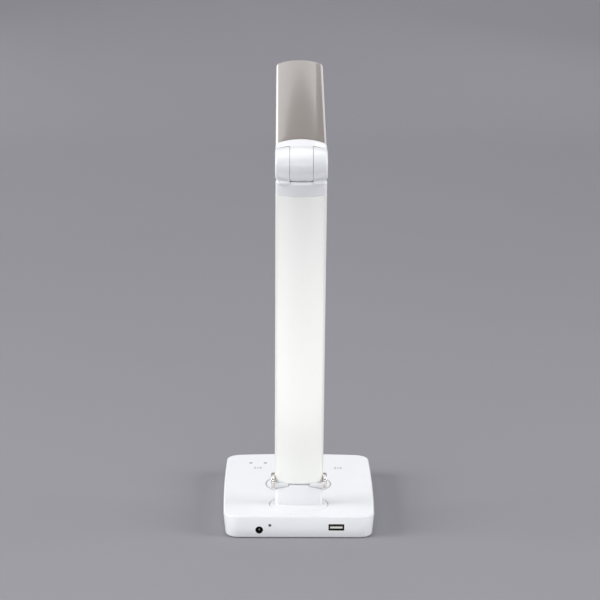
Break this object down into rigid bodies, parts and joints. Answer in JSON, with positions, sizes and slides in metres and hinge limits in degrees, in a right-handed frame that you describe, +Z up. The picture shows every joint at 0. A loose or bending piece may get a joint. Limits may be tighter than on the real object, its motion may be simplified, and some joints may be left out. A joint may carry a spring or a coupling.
{
  "type": "folding led desk lamp",
  "caption": "Folding desk lamp with a flat weighted base, swivelling stem, slim leaning arm and long flat light head; USB outlet and DC inlet at the rear of the base.",
  "frame": {"origin": "on the desk surface, on the underside of the anti-slip sheet, below the middle of the base", "axes": "+Z up; +Y the way the head reaches out, so the sockets are on the -Y side; +X to the right when the lamp is seen from the socket side"},
  "size_m": [0.1316, 0.2748, 0.3842],
  "materials": {
    "white_gloss": "gloss moulded plastic",
    "white_matt": "fine matt moulded plastic",
    "rubber": "matt",
    "ballast_steel": "zinc plated",
    "screw_steel": "zinc plated",
    "circuit_board": "solder mask",
    "contact_metal": "plated",
    "ring_grey": "satin",
    "socket_black": "matt",
    "socket_steel": "nickel plated",
    "tongue_white": "matt",
    "lens_smoke": "smoked, gloss",
    "bearing_plastic": "natural acetal",
    "pearl_metal": "pearl lacquer, satin",
    "silver_gloss": "warm silver lacquer, gloss",
    "chrome": "polished",
    "diffuser_milk": "opal, satin",
    "clear_acrylic": "clear, polished",
    "reflector_white": "matt film",
    "led_yellow": "phosphor",
    "heat_aluminium": "mill finish",
    "ribbon_grey": "matt"
  },
  "bodies": {
    "base": {"base_top_shell": "white_gloss", "base_bottom_cover": "white_matt", "anti_slip_pad": "rubber", "ballast_plate": "ballast_steel", "base_screws": "screw_steel", "touch_board": "circuit_board", "touch_springs": "contact_metal", "touch_ring": "ring_grey", "power_board": "circuit_board", "dc_jack_body": "socket_black", "dc_jack_pin": "screw_steel", "usb_shell": "socket_steel", "usb_tongue": "tongue_white", "usb_contacts": "contact_metal", "indicator_lens": "lens_smoke", "swivel_bush": "bearing_plastic"},
    "turntable": {"stem_housing": "white_gloss", "stem_bracket": "ballast_steel", "swivel_spindle": "screw_steel", "wave_washer": "screw_steel", "swivel_nut": "screw_steel", "stop_pin": "screw_steel"},
    "arm": {"arm_sleeve": "pearl_metal", "arm_lower_end": "white_gloss", "arm_upper_end": "white_gloss", "arm_spine": "ballast_steel", "arm_ribbon_cable": "ribbon_grey", "arm_screws": "screw_steel", "lower_hinge_pin": "screw_steel", "lower_hinge_washers": "bearing_plastic", "pivot_cap_left": "chrome", "pivot_cap_right": "chrome", "upper_hinge_pin": "screw_steel", "upper_hinge_washers": "bearing_plastic", "upper_pin_caps": "white_gloss"},
    "head": {"head_root": "white_gloss", "head_top_cover": "silver_gloss", "head_frame": "white_matt", "diffuser": "diffuser_milk", "light_guide": "clear_acrylic", "reflector_sheet": "reflector_white", "led_board": "circuit_board", "led_chips": "led_yellow", "heat_spreader": "heat_aluminium", "head_screws": "screw_steel"}
  },
  "joints": [
    {"name": "base_swivel", "type": "hinge", "parent": "base", "child": "turntable", "pos_m": [0, -0.06, 0.0197], "axis": [0, 0, 1], "range_deg": [-45, 45]},
    {"name": "arm_tilt", "type": "hinge", "parent": "turntable", "child": "arm", "pos_m": [0, -0.06, 0.041], "axis": [1, 0, 0], "range_deg": [-108, 8]},
    {"name": "head_tilt", "type": "hinge", "parent": "arm", "child": "head", "pos_m": [0, -0.15868, 0.33668], "axis": [1, 0, 0], "range_deg": [-77.5, 75]}
  ]
}
